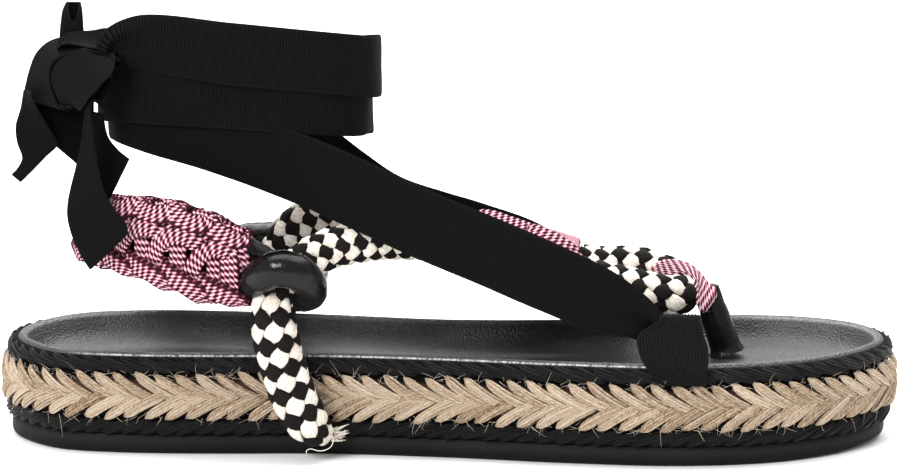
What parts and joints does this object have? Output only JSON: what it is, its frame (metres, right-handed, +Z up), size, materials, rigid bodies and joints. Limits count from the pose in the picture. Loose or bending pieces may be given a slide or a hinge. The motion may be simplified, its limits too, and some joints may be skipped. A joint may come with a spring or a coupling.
{
  "type": "sandal",
  "caption": "Flat thong sandal for the right foot: braid-wrapped platform sole, leather footbed, chequered rope instep, knotted heel band and ribbon ankle ties in a bow.",
  "frame": {"origin": "on the flat underside of the outsole, halfway along its length and on the lengthwise line through the middle of the heel", "axes": "+X to the toe, +Y to the inner (big toe) side, +Z up; the outer side of the foot is -Y"},
  "size_m": [0.268, 0.1034, 0.1322],
  "materials": {
    "rubber": "matt",
    "core": "foam",
    "black_jute": "braided jute, dyed black",
    "natural_jute": "plaited natural jute",
    "leather": "fine grain, semi-gloss",
    "rope": "braided, cream and near-black",
    "cord": "flat braided cord, pink, burgundy and white",
    "ribbon": "ribbed grosgrain"
  },
  "bodies": {
    "root": {"outsole": "rubber", "midsole": "core", "braid_lower": "black_jute", "braid_jute": "natural_jute", "braid_upper": "black_jute", "footbed": "leather", "toe_post": "leather", "toe_cord": "cord", "rope": "rope", "instep_knot": "cord", "ring_outer": "leather", "ring_inner": "leather", "heel_band": "cord", "web_loop_outer": "ribbon", "web_loop_inner": "ribbon", "tie_outer": "ribbon", "tie_inner": "ribbon", "bow_knot": "ribbon", "bow_loop": "ribbon", "bow_up": "ribbon", "tail_main": "ribbon", "tail_left": "ribbon", "tail_rear": "ribbon"}
  },
  "joints": []
}
